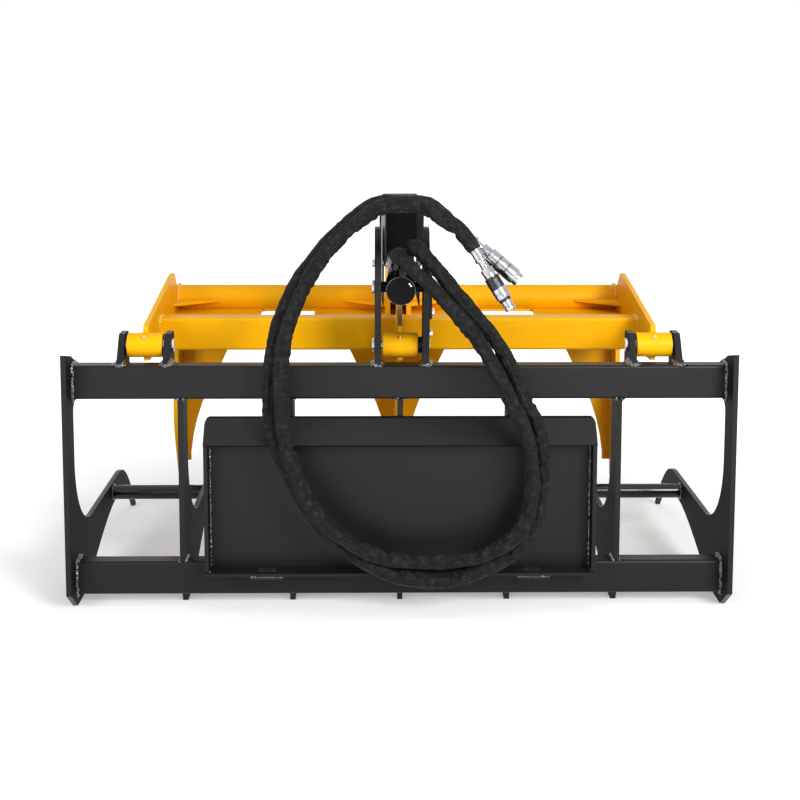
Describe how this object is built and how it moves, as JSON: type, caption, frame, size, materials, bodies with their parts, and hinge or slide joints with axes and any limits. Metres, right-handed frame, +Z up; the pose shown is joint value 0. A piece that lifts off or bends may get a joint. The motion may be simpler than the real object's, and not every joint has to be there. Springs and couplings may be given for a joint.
{
  "type": "skeleton grapple attachment",
  "caption": "Skeleton grapple: black frame of C shaped tines with a loader coupler plate, and a yellow hydraulic upper jaw with hoses.",
  "frame": {"origin": "on the floor under the frame, half way between the rear edge of the end plates and the tine tips, in the symmetry plane", "axes": "+X to the right of someone who looks at the rear with the coupler plate, +Y from the coupler plate towards the tine tips, +Z up"},
  "size_m": [1.972, 1.2094, 1.2489],
  "materials": {
    "black_paint": "satin",
    "yellow_paint": "satin",
    "zinc_steel": "zinc plated",
    "ground_steel": "ground and chromed",
    "bronze": "machined bronze",
    "textile_sleeve": "wrinkled textile sleeve over rubber hose"
  },
  "bodies": {
    "frame": {"tine_1": "black_paint", "tine_2": "black_paint", "tine_3": "black_paint", "tine_4": "black_paint", "tine_5": "black_paint", "tine_6": "black_paint", "tine_7": "black_paint", "top_tube": "black_paint", "bottom_tube": "black_paint", "front_crossbar": "black_paint", "coupler_plate": "black_paint", "coupler_cheek_left": "black_paint", "coupler_cheek_right": "black_paint", "lock_pin_tabs": "black_paint", "ear_left_outer": "black_paint", "ear_left_inner": "black_paint", "ear_right_inner": "black_paint", "ear_right_outer": "black_paint", "mast_left": "black_paint", "mast_right": "black_paint", "mast_doubler": "black_paint", "mast_bolts": "zinc_steel", "cylinder_guard": "black_paint", "guard_bolts": "zinc_steel", "hinge_pin_left": "zinc_steel", "hinge_pin_centre": "zinc_steel", "hinge_pin_right": "zinc_steel", "base_pin": "zinc_steel", "hose_elbow_a": "zinc_steel", "hose_elbow_b": "zinc_steel", "hose_a": "textile_sleeve", "hose_b": "textile_sleeve", "quick_coupler_a": "zinc_steel", "quick_coupler_b": "zinc_steel", "hinge_collar": "black_paint"},
    "upper_jaw": {"corner_gussets": "yellow_paint", "deck_left": "yellow_paint", "deck_right": "yellow_paint", "face_plate_centre": "yellow_paint", "face_plate_left": "yellow_paint", "face_plate_right": "yellow_paint", "hinge_bushes": "bronze", "hinge_tube_centre": "yellow_paint", "hinge_tube_left": "yellow_paint", "hinge_tube_right": "yellow_paint", "jaw_arm_centre": "yellow_paint", "jaw_arm_left": "yellow_paint", "jaw_arm_right": "yellow_paint", "jaw_front_pipe": "yellow_paint", "jaw_rear_tube": "yellow_paint", "rod_lug_left": "yellow_paint", "rod_lug_right": "yellow_paint", "rod_pin": "zinc_steel"},
    "cylinder_barrel": {"cylinder_barrel_tube": "black_paint", "cylinder_base_cap": "black_paint", "cylinder_gland": "ground_steel", "rod_shield": "black_paint"},
    "cylinder_rod": {"cylinder_rod_bar": "ground_steel", "cylinder_piston": "ground_steel", "rod_eye": "black_paint"}
  },
  "joints": [
    {"name": "jaw_hinge", "type": "hinge", "parent": "frame", "child": "upper_jaw", "pos_m": [0, -0.4, 0.785], "axis": [1, 0, 0], "range_deg": [0, 34]},
    {"name": "cylinder_swing", "type": "hinge", "parent": "frame", "child": "cylinder_barrel", "pos_m": [0, -0.49, 0.974], "axis": [1, 0, 0], "range_deg": [0, 33]},
    {"name": "rod_slide", "type": "slide", "parent": "cylinder_barrel", "child": "cylinder_rod", "axis": [0, 0.9962, 0.0872], "range_m": [-0.1225, 0]}
  ],
  "couplings": [
    {"joint": "cylinder_swing", "follows": "jaw_hinge", "ratio": 0.958},
    {"joint": "rod_slide", "follows": "jaw_hinge", "m_per_rad": -0.2057}
  ]
}
